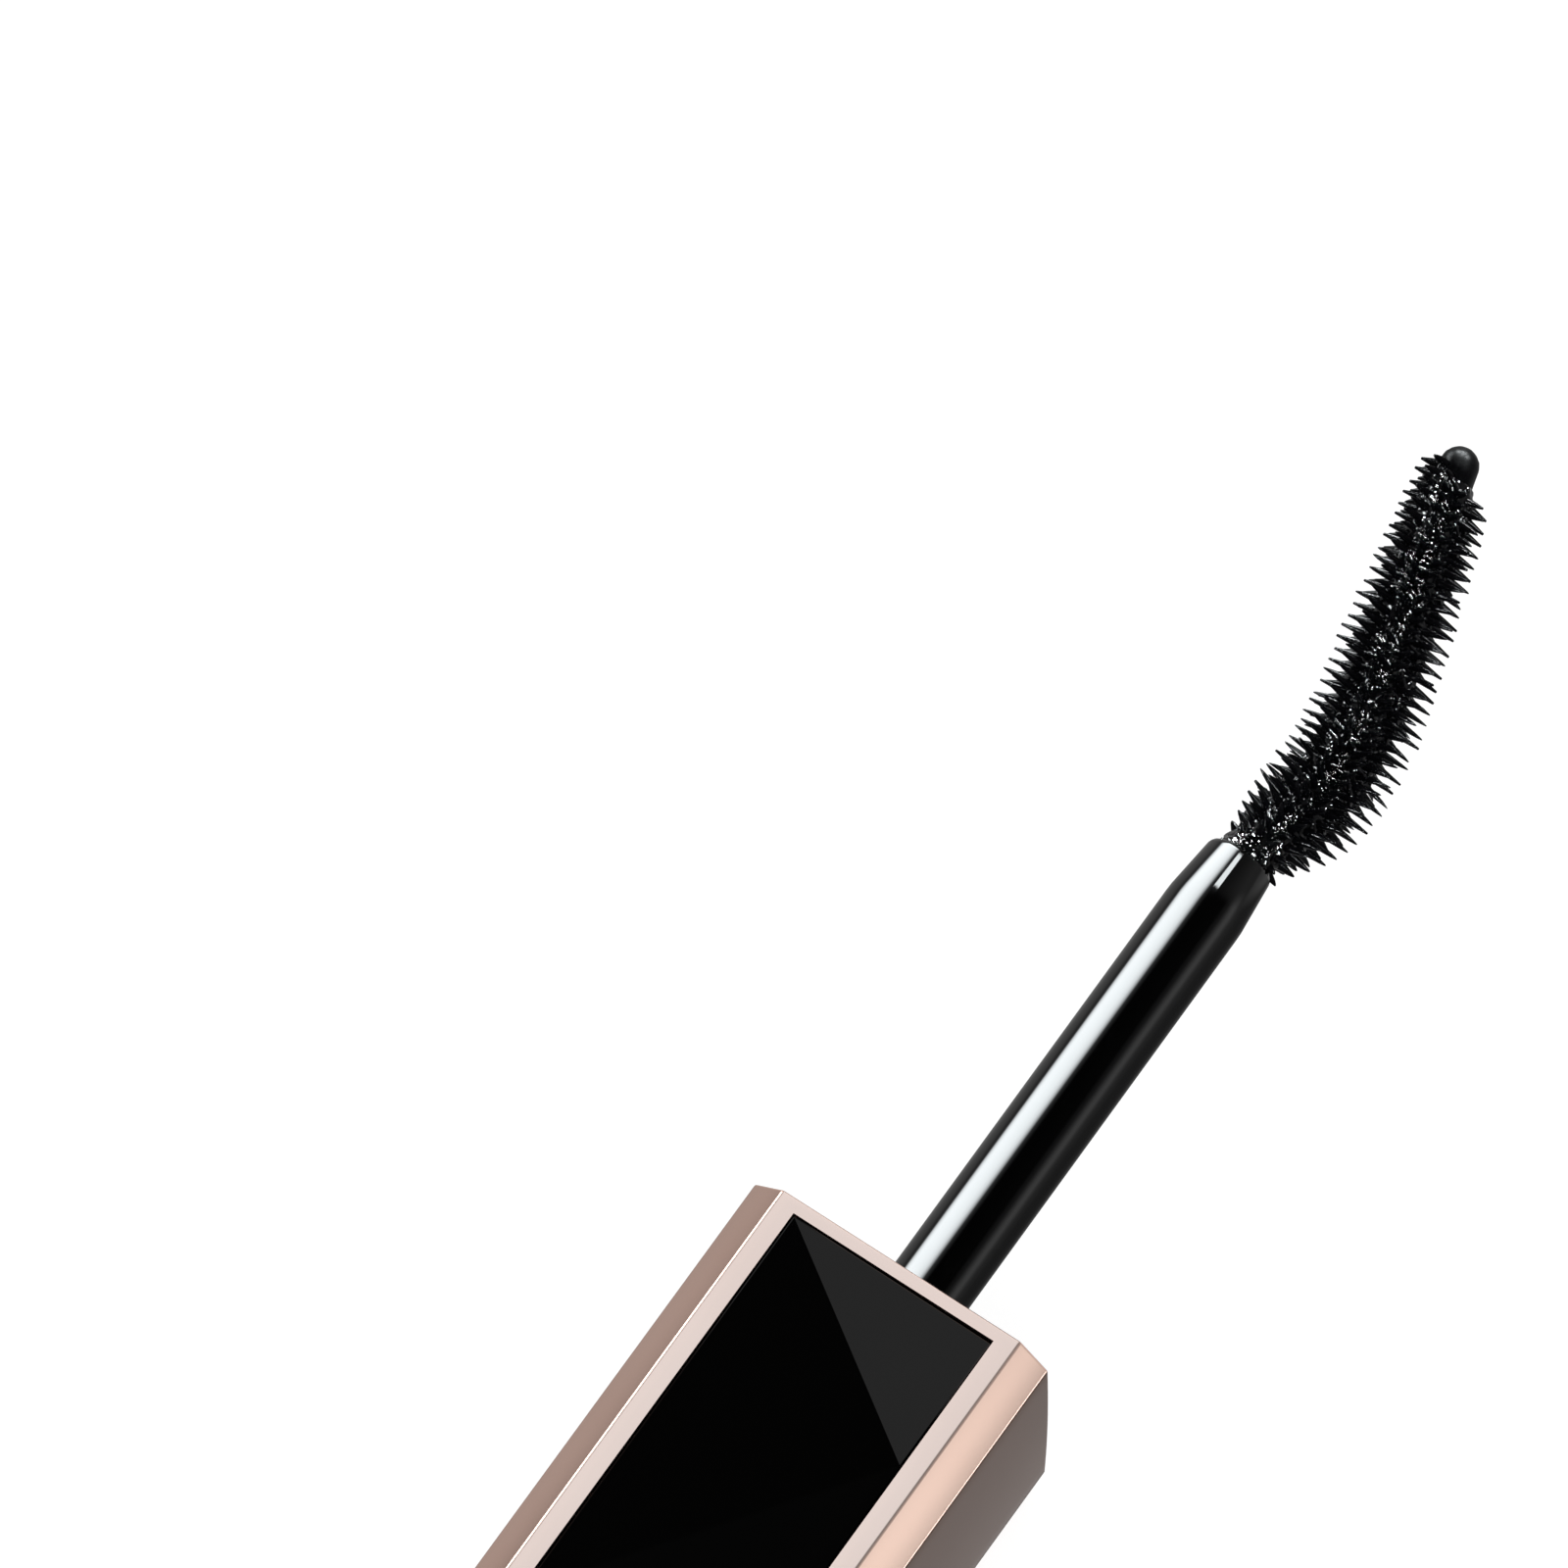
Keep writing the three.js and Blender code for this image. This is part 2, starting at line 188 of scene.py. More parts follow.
# %% One material being wired
class Finish:
    def __init__(self, name, **constants):
        self.material = bpy.data.materials.new(name)
        self.material.use_nodes = True
        self.tree = self.material.node_tree
        self.surface = self.tree.nodes["Principled BSDF"]
        for socket, value in constants.items():
            self.surface.inputs[socket.replace("_", " ")].default_value = value
        place = self.node("ShaderNodeTexCoord", out="Object")
        self.mm = self.node("ShaderNodeMapping", {}, {"Vector": place, "Scale": (1000, 1000, 1000)})

    def node(self, kind, settings=None, inputs=None, out=0):
        """Adds a node: its settings ("stops" are a ramp's), then its sockets' values or links."""
        made = self.tree.nodes.new(kind)
        for key, value in (settings or {}).items():
            if key == "stops":
                ramp = made.color_ramp
                while len(ramp.elements) < len(value):
                    ramp.elements.new(0.5)
                for element, (position, colour) in zip(ramp.elements, value):
                    element.position, element.color = position, colour
            else:
                setattr(made, key, value)
        for key, value in (inputs or {}).items():
            if isinstance(value, Wire):
                self.tree.links.new(value.socket, made.inputs[key])
            else:
                made.inputs[key].default_value = value
        return Wire(self, made.outputs[out])

    def noise(self, scale, detail=2.0, roughness=0.5, vector=None):
        return self.node("ShaderNodeTexNoise", {}, {
            "Vector": vector or self.mm, "Scale": scale, "Detail": detail, "Roughness": roughness})

    def stretched(self, x, y, z):
        """The millimetre coordinates scaled apart along each axis, for drawn-out patterns."""
        return self.node("ShaderNodeMapping", {}, {"Vector": self.mm, "Scale": (x, y, z)})

    def blend(self, factor, low, high):
        """A colour between two colours."""
        return self.node("ShaderNodeMix", {"data_type": "RGBA"}, {0: factor, 6: low, 7: high}, out=2)

    def bump(self, height, strength, distance):
        """`distance` is how far full white stands out, in millimetres."""
        return self.node("ShaderNodeBump", {}, {
            "Height": height, "Strength": strength, "Distance": distance * MM})

    def shade(self, **links):
        for socket, value in links.items():
            self.tree.links.new(value.socket, self.surface.inputs[socket.replace("_", " ")])
        return self.material


def rgb(r, g, b):
    return (r, g, b, 1.0)


# %% [markdown]
# ## Rose-gold metal
# The sleeves are metallised a pale rose gold under a thin clear lacquer. Seen close, such a coat
# isn't even: it has a faint cloudy change of tone, a very fine grain that spreads the highlight, and
# the slight orange peel of a sprayed lacquer.

# %% Rose gold
def rose_gold_finish():
    gold = Finish("rose_gold_satin", Metallic=1.0, Coat_Weight=0.2, Coat_Roughness=0.12)
    cloud = gold.noise(0.08, 2, 0.45)
    grain = gold.noise(9.0, 3, 0.65, gold.stretched(0.35, 1, 1))
    peel = gold.noise(1.6, 2, 0.4)
    colour = gold.blend(cloud.between(0.3, 0.7), rgb(0.812, 0.545, 0.449), rgb(0.838, 0.570, 0.471))
    rough = 0.15 + grain * 0.04 + cloud * 0.02
    return gold.shade(Base_Color=colour, Roughness=rough, Normal=gold.bump(peel, 0.5, 0.0012))


ROSE_GOLD = rose_gold_finish()

# %% [markdown]
# ## Black lacquer, black plastic and wet formula
# Four blacks sit side by side on this object, and only their surfaces tell them apart: the mirror
# lacquer of the front plates, the polished rod, the moulded elastomer of the brush, and the wet
# formula that clings to it. So each has its own roughness and its own small relief.


# %% Mirror-black lacquer for the front plates
def lacquer_finish():
    black = Finish("black_lacquer", Coat_Weight=0.0)
    swirl = black.noise(0.25, 2, 0.5)
    dust = black.noise(14.0, 2, 0.6).between(0.74, 0.82)
    colour = black.blend(dust, rgb(0.0002, 0.0002, 0.0002), rgb(0.004, 0.004, 0.004))
    rough = 0.035 + swirl * 0.03 + dust * 0.25
    return black.shade(Base_Color=colour, Roughness=rough, Normal=black.bump(swirl, 0.1, 0.004))


BLACK_LACQUER = lacquer_finish()


# %% Polished black plastic for the rod
def rod_finish():
    black = Finish("rod_polished_black")
    flow = black.noise(0.5, 2, 0.5, black.stretched(0.15, 1, 1))
    smear = black.noise(1.4, 4, 0.65, black.stretched(0.4, 1, 1)).between(0.60, 0.78)
    colour = black.blend(smear, rgb(0.0003, 0.0003, 0.0004), rgb(0.0012, 0.0012, 0.0015))
    rough = 0.045 + flow * 0.03 + smear * 0.05
    return black.shade(Base_Color=colour, Roughness=rough, Normal=black.bump(flow, 0.15, 0.006))


ROD_BLACK = rod_finish()


# %% Moulded elastomer for the brush
NOSE_X = rod_high.x / MM + 24.0  # the bare nose is wiped duller than the rest


def elastomer_finish():
    black = Finish("brush_elastomer", Specular_IOR_Level=0.055)
    skin = black.noise(7.0, 3, 0.6)
    wiped = black.node("ShaderNodeSeparateXYZ", {}, {0: black.mm}).between(NOSE_X - 0.4, NOSE_X + 0.3)
    colour = black.blend(skin, rgb(0.0004, 0.0004, 0.0006), rgb(0.003, 0.003, 0.004))
    rough = 0.09 + skin * 0.10 + wiped * 0.22
    return black.shade(Base_Color=colour, Roughness=rough, Normal=black.bump(skin, 0.4, 0.012))


ELASTOMER = elastomer_finish()


# %% Wet formula
def formula_finish():
    black = Finish("wet_formula", Specular_IOR_Level=0.30)
    lump = black.noise(3.0, 3, 0.55)
    fine = black.noise(11.0, 2, 0.5)
    colour = black.blend(lump, rgb(0.0003, 0.0003, 0.0005), rgb(0.002, 0.002, 0.003))
    rough = 0.03 + fine * 0.06
    return black.shade(Base_Color=colour, Roughness=rough,
                       Normal=black.bump(lump + fine * 0.1, 0.5, 0.03))


WET_FORMULA = formula_finish()


# %% Plain moulded plastics, rubbers, steel and paper for what sits inside
def moulded_finish(name, low, high, roughness, grain, depth, metallic=0.0):
    body = Finish(name, Metallic=metallic)
    texture = body.noise(grain, 3, 0.6)
    wide = body.noise(0.2, 2, 0.5)
    colour = body.blend(wide, rgb(*low), rgb(*high))
    return body.shade(Base_Color=colour, Roughness=roughness + texture * 0.12,
                      Normal=body.bump(texture, 0.4, depth))


LINER = moulded_finish(
    "liner_moulded_black", (0.010,) * 3, (0.016,) * 3, roughness=0.34, grain=6.0, depth=0.015)
GREY_RUBBER = moulded_finish(
    "wiper_soft_grey", (0.035, 0.035, 0.038), (0.055,) * 3, roughness=0.45, grain=8.0, depth=0.01)
BLACK_RUBBER = moulded_finish(
    "gasket_black_rubber", (0.012,) * 3, (0.02,) * 3, roughness=0.6, grain=9.0, depth=0.01)
STEEL = moulded_finish(
    "weight_steel", (0.42, 0.42, 0.43), (0.52, 0.52, 0.53), roughness=0.28, grain=5.0, depth=0.01,
    metallic=1.0)
STICKER = moulded_finish(
    "blank_sticker", (0.78, 0.77, 0.75), (0.84, 0.83, 0.81), roughness=0.5, grain=12.0, depth=0.008)

# %% [markdown]
# ## The square sleeves
# The cap and the bottle share one extrusion: a square with long chamfers, whose left and right sides
# swell very slightly. A cube gives the square, one straight bevel the chamfers, and a few cuts
# across each side give the swell something to bend. Rounding every outer edge by a seventh of a
# millimetre is what makes the thin bright lines along them. The order matters: the block is hollowed
# while its edges are sharp, then rounded, and the front pocket is cut last.

# %% The outer block
CHAMFER = 1.7  # setback of each long corner
SWELL = 0.1  # how far the middle of a side stands out
WALL = 1.6
SWELL_CUTS = [i / 5 for i in range(-4, 5)]  # shares of a side's half height
NEAR = 0.01  # what counts as the same place


def is_long(edge):
    return abs(edge.verts[0].co.x - edge.verts[1].co.x) > 0.1


def on_outside(edge):
    """True on the sleeve's outer skin."""
    skin = SIDE / 2 - SWELL - 5 * NEAR
    return all(max(abs(v.co.y), abs(v.co.z)) > skin for v in edge.verts)


def square_block(x0, x1):
    """The solid chamfered square between two places on the axis, still with sharp edges."""
    bm = bmesh.new()
    bmesh.ops.create_cube(bm, size=1.0)
    bmesh.ops.scale(bm, vec=(x1 - x0, SIDE - 2 * SWELL, SIDE), verts=bm.verts)
    bmesh.ops.translate(bm, vec=((x0 + x1) / 2, 0, 0), verts=bm.verts)
    round_off(bm, [e for e in bm.edges if is_long(e)], CHAMFER, segments=1)
    flat = SIDE / 2 - CHAMFER
    for cut in SWELL_CUTS:
        bmesh.ops.bisect_plane(bm, geom=bm.verts[:] + bm.edges[:] + bm.faces[:],
                               plane_co=(0, 0, cut * flat), plane_no=(0, 0, 1))
    for v in bm.verts:
        if abs(v.co.y) > SIDE / 2 - SWELL - NEAR:
            v.co.y += math.copysign(SWELL * (1 - (v.co.z / flat) ** 2), v.co.y)
    bmesh.ops.recalc_face_normals(bm, faces=bm.faces)
    return bm


# %% Hollow it, and round its edges
def hollow(bm, x, depth):
    """Insets the flat end at x by the wall, then pushes the middle in along the axis."""
    flat = [f for f in bm.faces
            if abs(f.normal.x) > 0.99 and abs(f.calc_center_median().x - x) < NEAR]
    bmesh.ops.inset_region(bm, faces=flat, thickness=WALL, use_even_offset=True)
    sink(bm, flat, (depth, 0, 0))


def on_inner_rim(edge):
    """True round the mouth of the hollow."""
    flat_faces = sum(abs(f.normal.x) > 0.99 for f in edge.link_faces)
    return not is_long(edge) and not on_outside(edge) and flat_faces == 1


def round_sleeve(bm, outer=0.14, mouth=0.1):
    """The long edges and both outer rims together, then the rim of the hollow."""
    round_off(bm, [e for e in creases(bm, 20) if on_outside(e)], outer, segments=4)
    round_off(bm, [e for e in creases(bm, 50) if on_inner_rim(e)], mouth)


# %% Sink the pocket for the front plate
PANEL_WIDTH = 12.1
PANEL_MARGIN = 0.77  # from the sleeve's end to the pocket
LIP = 0.05  # rounding of the pocket's rim


def front_faces(bm):
    return [f for f in bm.faces
            if f.normal.z > 0.999 and f.calc_center_median().z > SIDE / 2 - NEAR]


def pocket(bm, x0, x1, depth=1.0):
    """A rectangular recess in the front, between two places on the axis."""
    half = PANEL_WIDTH / 2
    for co, no in (((x0, 0, 0), (1, 0, 0)), ((x1, 0, 0), (1, 0, 0)),
                   ((0, -half, 0), (0, 1, 0)), ((0, half, 0), (0, 1, 0))):
        front = front_faces(bm)
        geom = front + list({e for f in front for e in f.edges}) + verts_of(front)
        bmesh.ops.bisect_plane(bm, geom=geom, plane_co=co, plane_no=no)
    middles = {f: f.calc_center_median() for f in front_faces(bm)}
    sink(bm, [f for f, m in middles.items() if x0 < m.x < x1 and abs(m.y) < half], (0, 0, -depth))
    lip = []
    for e in creases(bm, 60):
        a = e.verts[0].co
        if (min(v.co.z for v in e.verts) > SIDE / 2 - 0.1 * NEAR and abs(a.y) < half + NEAR
                and x0 - NEAR < a.x < x1 + NEAR):
            lip.append(e)
    round_off(bm, lip, LIP, segments=2)


# %% Cap sleeve and bottle sleeve
cap = square_block(-CAP_LENGTH, 0)
hollow(cap, 0, -(CAP_LENGTH - WALL))
round_sleeve(cap)
pocket(cap, -CAP_LENGTH + PANEL_MARGIN, -PANEL_MARGIN)
settle(cap, "cap_sleeve", "wand", "cap_shell", [ROSE_GOLD])

bottle = square_block(SHOULDER, SHOULDER + SHELL_LENGTH)
hollow(bottle, SHOULDER, SHELL_LENGTH - WALL)
round_sleeve(bottle)
pocket(bottle, SHOULDER + PANEL_MARGIN, SHOULDER + SHELL_LENGTH - PANEL_MARGIN)
settle(bottle, "bottle_sleeve", "bottle", "bottle_shell", [ROSE_GOLD])

# %% [markdown]
# ## The faceted front plates
# Each black plate is folded along a few shallow creases, so that neighbouring facets catch different
# parts of the room. The engineering plates already hold those facets. A copy of one is merged, its
# flat triangles are joined again, and its outer edges are softened. The creases stay crisp.


# %% Softened copies of engineering pieces
FLAT = 0.2  # triangles that meet at less than this many degrees are one face


def copy_of(node):
    """A merged bench copy of one node, its coplanar triangles joined again."""
    bm = bmesh.new()
    bm.from_mesh(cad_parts[node].data)
    bmesh.ops.transform(bm, matrix=TO_METRES.inverted(), verts=bm.verts)
    bmesh.ops.remove_doubles(bm, verts=bm.verts, dist=0.002)
    bmesh.ops.dissolve_limit(bm, angle_limit=math.radians(FLAT), verts=bm.verts,
                             edges=bm.edges, use_dissolve_boundaries=False)
    return bm


for node, name, body in (("cap_front_panel", "cap_front_plate", "wand"),
                         ("bottle_front_panel", "bottle_front_plate", "bottle")):
    plate = copy_of(node)
    round_off(plate, creases(plate, 60), 0.07, segments=2)
    settle(plate, name, body, node, [BLACK_LACQUER], sharp=0.4)

# %% [markdown]
# ## The rod
# A polished round rod, straight until its last few millimetres, where it tapers to the brush and
# ends in a small rounded rim with the brush's shank in its middle.

# %% Turn the rod
TAPER = 3.25  # length of the tapered end
TIP_R = 1.88  # radius at its rim
SOCKET_R, SOCKET_DEPTH = 1.1, 4.2  # the hole for the brush's shank
rod = turned([
    # the end held in the liner
    (-32, 0), (-32, 1.7), (-31.6, 2.1), (-31.2, ROD_R),
    # the straight length runs softly into the taper
    (ROD_END - TAPER - 0.5, ROD_R), (ROD_END - TAPER, ROD_R - 0.012),
    (ROD_END - TAPER + 0.5, ROD_R - 0.06),
    # the rounded rim
    (ROD_END - 0.36, TIP_R + 0.03), (ROD_END - 0.22, TIP_R - 0.015), (ROD_END - 0.1, TIP_R - 0.09),
    (ROD_END - 0.02, TIP_R - 0.2), (ROD_END, TIP_R - 0.34),
    # the socket
    (ROD_END, SOCKET_R), (ROD_END - SOCKET_DEPTH, SOCKET_R), (ROD_END - SOCKET_DEPTH, 0)], steps=128)
settle(rod, "rod_polished", "wand", "rod", [ROD_BLACK], sharp=40)

# %% [markdown]
# ## The brush
# One piece of moulded elastomer: a slim core that leaves the rod at an angle, bends over and runs on
# nearly straight to a round nose, with rows of pointed bristles standing across the rod's axis. The
# core is a circle extruded step by step along that line. One bristle is modelled once, with a few
# dozen faces, and repeated with small changes of length and lean.

# %% The brush's middle line
BRUSH_LENGTH = 25.9
LEAVES, SETTLES = 18.0, -15.0  # degrees to the side: at the rod, and further on
BEND = 7.0  # millimetres over which one heading turns into the other
CORE_R = 1.05
STEP = 0.05  # between two points of the line


def middle_line():
    """Points along the core: (place, heading), heading measured towards -Y."""
    place, line = Vector((ROD_END, 0, 0)), []
    for i in range(int(BRUSH_LENGTH / STEP) + 1):
        heading = math.radians(SETTLES + (LEAVES - SETTLES) * math.exp(-((i * STEP / BEND) ** 2)))
        line.append((place.copy(), heading))
        place += STEP * Vector((math.cos(heading), -math.sin(heading), 0))
    return line


LINE = middle_line()


def on_line(s):
    return LINE[max(0, min(len(LINE) - 1, round(s / STEP)))]


print("brush tip reaches", [round(c, 2) for c in on_line(BRUSH_LENGTH)[0]])


# %% A round bar along the middle line
def bar(radius_at, stations, around=28):
    """Rings of the given radii at the given distances along the line, closed at both ends."""
    bm = bmesh.new()
    ring = bmesh.ops.create_circle(bm, segments=around, radius=1.0, cap_ends=True)["verts"]
    edges = bm.edges[:]
    frames = []
    for s in stations:
        place, heading = on_line(s)
        frames.append(Matrix.Translation(place) @ Matrix.Rotation(-heading, 4, "Z")
                      @ Matrix.Rotation(math.pi / 2, 4, "Y") @ Matrix.Scale(radius_at(s), 4))
    bmesh.ops.transform(bm, matrix=frames[0], verts=ring)
    for before, after in zip(frames, frames[1:]):
        ring, edges = grow(bm, edges)
        bmesh.ops.transform(bm, matrix=after @ before.inverted(), verts=ring)
    bmesh.ops.contextual_create(bm, geom=edges)
    bmesh.ops.recalc_face_normals(bm, faces=bm.faces)
    return bm


def core_radius(s):
    """The same all along, until the nose closes on a half circle."""
    nose = s - (BRUSH_LENGTH - CORE_R)
    if nose > 0:
        return max(0.02, math.sqrt(max(0.0, CORE_R ** 2 - nose ** 2)))
    return CORE_R


# even rings along the core, then closer and closer ones round the nose
STATIONS = ([0.0] + [0.3 * i for i in range(1, 81)]
            + [BRUSH_LENGTH - CORE_R * (1 - math.sin(math.radians(a))) for a in range(0, 90, 9)]
            + [BRUSH_LENGTH - 0.001])


# %% Pointed bristles, standing on the origin along +Z
def one_bristle(tip, hook):
    """Unit height and unit root radius; `tip` is the point's radius, `hook` leans it to local +X."""
    profile = ((0.22, 0.86), (0.45, 0.66), (0.66, 0.49), (0.84, 0.33),
               (0.95, 0.5 * (0.26 + tip)), (0.985, tip), (1.0, 0.5 * tip))
    bm = bmesh.new()
    bmesh.ops.create_circle(bm, segments=7, radius=1.0, cap_ends=True)
    edges = bm.edges[:]
    for height, radius in profile:
        ring, edges = grow(bm, edges)
        middle = sum((v.co for v in ring), Vector()) / len(ring)
        for v in ring:
            v.co = ((v.co - middle).normalized() * radius
                    + Vector((hook * height ** 2.5, 0, height)))
    bmesh.ops.contextual_create(bm, geom=edges)
    bmesh.ops.recalc_face_normals(bm, faces=bm.faces)
    return as_mesh(bm, "one_bristle")


POINTED = [one_bristle(tip, hook) for tip, hook in
           ((0.12, 0.0), (0.12, 0.5), (0.10, -0.4), (0.22, 0.1), (0.08, 1.1))]
SHARES = (4, 3, 1, 1, 1.5)  # how often each of them stands on the brush
BLUNT_SHARES = (2, 1, 0.5, 6, 0)  # and how often near the nose, where most are blunt


def add_copy(bm, mesh, matrix):
    """Adds a transformed copy of a small mesh to a bench mesh."""
    before = len(bm.verts)
    bm.from_mesh(mesh)
    bm.verts.ensure_lookup_table()
    bmesh.ops.transform(bm, matrix=matrix, verts=bm.verts[before:])


# %% Where the bristles stand, and how long they are
PITCH = 0.655  # from row to row
FIRST_ROW = 0.35  # from the rod's end
PER_ROW = 10
NOSE = 1.75  # bare length at the tip
BLUNT_FROM = 18  # the row where the blunt ones begin
ROOT = 0.85  # bristles start inside the core
FIRST_LINE = -0.22  # the first line of bristles stands a little below the brush's outer side
JITTER = 0.04  # of a bristle's place round the core, in radians
rng = random.Random(7)


def reach_at(x, across):
    """From the middle line to a bristle's point; `across` is +1 on the outer side of the bend."""
    grown = min(1.98 + 0.42 * x, 3.38 - 1.02 * (x / 23) ** 3)
    return grown * (0.95 + 0.05 * across)


def bristle_frames():
    """{(row, column): (root, stand, length)} of every bristle; the stand's Z points outward and its
    X back to the rod."""
    frames = {}
    rows = int((LINE[-1][0].x - ROD_END - NOSE - FIRST_ROW) / PITCH) + 2
    cut_off = {rows - 2: 0.5, rows - 1: -0.3}  # the last two rows stand on the inner side only
    for row in range(rows):
        x = FIRST_ROW + row * PITCH
        place, heading = min(LINE, key=lambda p: abs(p[0].x - ROD_END - x))
        near = math.exp(-x / 3)
        for column in range(PER_ROW):
            turn = math.tau * column / PER_ROW + FIRST_LINE + rng.uniform(-JITTER, JITTER)
            if math.cos(turn) > cut_off.get(row, 1.0):
                continue
            outward = Vector((0, -math.cos(turn), math.sin(turn)))
            inner = (1 - math.cos(turn)) / 2
            lean = heading * inner + math.radians(
                14 * near * inner + (2.5 - 8 * near) * (1 - inner) + rng.uniform(-2, 2))
            out = (outward * math.cos(lean) + Vector((1, 0, 0)) * math.sin(lean)).normalized()
            side = out.cross(Vector((-1, 0, 0))).normalized()
            stand = Matrix((side.cross(out), side, out)).transposed().to_4x4()
            length = reach_at(x, math.cos(turn)) * rng.uniform(0.95, 1.02) - ROOT
            frames[row, column] = (place + out * ROOT, stand, length)
    return frames


FRAMES = bristle_frames()
print(len(FRAMES), "bristles")

# %% Mould the brush
SHANK_R, SHANK = 0.98, (ROD_END - 3.9, ROD_END + 0.8)  # it stands in the rod's socket
brush = bar(core_radius, STATIONS)
shank = turned([(SHANK[0], 0), (SHANK[0], SHANK_R), (SHANK[1], SHANK_R), (SHANK[1], 0)], steps=32)
add_copy(brush, as_mesh(shank, "shank"), Matrix.Identity(4))
for (row, column), (root, stand, length) in FRAMES.items():
    # stouter near the rod and, a little, at the blunt end
    width = rng.uniform(0.28, 0.32) + 0.12 * math.exp(-row / 3) + (0.03 if row > BLUNT_FROM else 0)
    kind = rng.choices(POINTED, SHARES if row < BLUNT_FROM else BLUNT_SHARES)[0]
    spin = Matrix.Rotation(rng.uniform(-0.5, 0.5), 4, "Z")
    add_copy(brush, kind, Matrix.Translation(root) @ stand @ spin
             @ Matrix.Diagonal((width, width, length, 1)))
settle(brush, "brush_moulded", "wand", "brush", [ELASTOMER], sharp=60)

# %% [markdown]
# ## Formula on the brush
# A brush that has just been drawn from its bottle is never clean. A lumpy film covers the core, thick
# sleeves of it climb the bristles, threads of it bridge from one to the next, and small drops sit all
# over. The film is modelled roughly from a bar, stubs and drops, and then remeshed into one skin,
# which melts them together as a thick liquid would.

# %% Rough lumps of formula
drop = bmesh.new()
bmesh.ops.create_icosphere(drop, subdivisions=2, radius=1.0)
DROP = as_mesh(drop, "drop")
FILM_ENDS = BRUSH_LENGTH - 1.9


def film_radius(s):
    """Thickest at the rod, where the wiper leaves most, and gone before the nose."""
    return core_radius(s) + 0.17 + 0.34 * math.exp(-(s / 1.1) ** 2)


film = bar(film_radius, [s for s in STATIONS if s < FILM_ENDS], around=24)
for (row, column), (root, stand, length) in FRAMES.items():
    # a stub that climbs the bristle
    climb = length * rng.choice((rng.uniform(0.25, 0.45), rng.uniform(0.3, 0.75)))
    width = rng.uniform(0.33, 0.39) + 0.10 * math.exp(-row / 3)
    add_copy(film, POINTED[0], Matrix.Translation(root) @ stand
             @ Matrix.Diagonal((width, width, climb, 1)))
    out = stand.to_3x3().col[2]
    # threads to the next bristle round, the next along, and the one across
    for other, chance in (((row, (column + 1) % PER_ROW), 0.45), ((row + 1, column), 0.20),
                          ((row + 1, (column + 1) % PER_ROW), 0.25)):
        if other not in FRAMES or rng.random() > chance:
            continue
        root2, stand2, length2 = FRAMES[other]
        high = rng.uniform(0.30, 0.48) * min(length, length2)
        a, b = root + out * high, root2 + stand2.to_3x3().col[2] * high
        along = (b - a).to_track_quat("Z", "Y").to_matrix().to_4x4()
        thick = rng.uniform(0.09, 0.15)
        add_copy(film, DROP, Matrix.Translation((a + b) / 2) @ along
                 @ Matrix.Diagonal((thick, thick, (b - a).length * 0.6, 1)))
    # a bead on every other bristle or so
    if rng.random() < 0.45:
        size = rng.uniform(0.09, 0.16)
        add_copy(film, DROP, Matrix.Translation(root + out * length * rng.uniform(0.3, 0.8)) @ stand
                 @ Matrix.Diagonal((size, size, size * 1.5, 1)))

# %% Drops all over the film, the first of them crowded near the rod
DROPS, NEAR_ROD = 420, 70
for i in range(DROPS):
    s = (BRUSH_LENGTH - 2.2) * rng.random() if i > NEAR_ROD else 2.6 * rng.random() ** 1.5
    turn = rng.uniform(0, math.tau)
    out = Vector((0, -math.cos(turn), math.sin(turn)))
    size = rng.uniform(0.12, 0.21)
    place = on_line(s)[0] + out * (film_radius(s) - 0.03)
    add_copy(film, DROP, Matrix.Translation(place) @ Matrix.Scale(size, 4))


# %% Melt them into one skin
def melted(bm, voxel, smooth):
    """Voxel-remeshes a bench mesh and smooths it."""
    lumps = bpy.data.objects.new("lumps", as_mesh(bm, "lumps"))
    bpy.context.scene.collection.objects.link(lumps)
    remesh = lumps.modifiers.new("melt", "REMESH")
    remesh.mode, remesh.voxel_size = "VOXEL", voxel
    relax = lumps.modifiers.new("relax", "SMOOTH")
    relax.factor, relax.iterations = 0.5, smooth
    skin = bmesh.new()
    skin.from_object(lumps, bpy.context.evaluated_depsgraph_get())
    bpy.data.objects.remove(lumps)
    return skin


film = melted(film, voxel=0.085, smooth=2)
settle(film, "brush_formula", "wand", finish=[WET_FORMULA], sharp=180)

# %% [markdown]
# ## The threaded neck and what sits in it
# The container's neck stands out of the shoulder with a right-hand thread. Its body and the neck are
# one spin, and the thread is a small section spun while it moves along the axis, its two ends
# shrunk into the neck as a moulded thread's are.


# %% A thread's ridge
def thread_ridge(root, crest, start, pitch, turns, width, tip, per_turn=64):
    """A helical ridge: a four-cornered section spun with a step along the axis."""
    bm = bmesh.new()
    corners = ((-width / 2, root), (-tip / 2, crest), (tip / 2, crest), (width / 2, root))
    section = [bm.verts.new((start + x, r, 0)) for x, r in corners]
    face = bm.faces.new(section)
    bmesh.ops.spin(bm, geom=[face] + face.edges[:] + section, cent=(0, 0, 0), axis=(1, 0, 0),
                   dvec=(pitch / per_turn, 0, 0), angle=math.tau * turns,
                   steps=int(turns * per_turn))
    for v in bm.verts:
        radius = math.hypot(v.co.y, v.co.z)
        if (radius - root) * (crest - root) <= 1e-6:
            continue
        lap = (v.co.x - start) / pitch
        fade = min(1.0, max(0.05, min(lap, turns - lap) * 8))
        keep = (root + (crest - root) * fade) / radius
        v.co.y, v.co.z = v.co.y * keep, v.co.z * keep
    bmesh.ops.recalc_face_normals(bm, faces=bm.faces)
    return bm


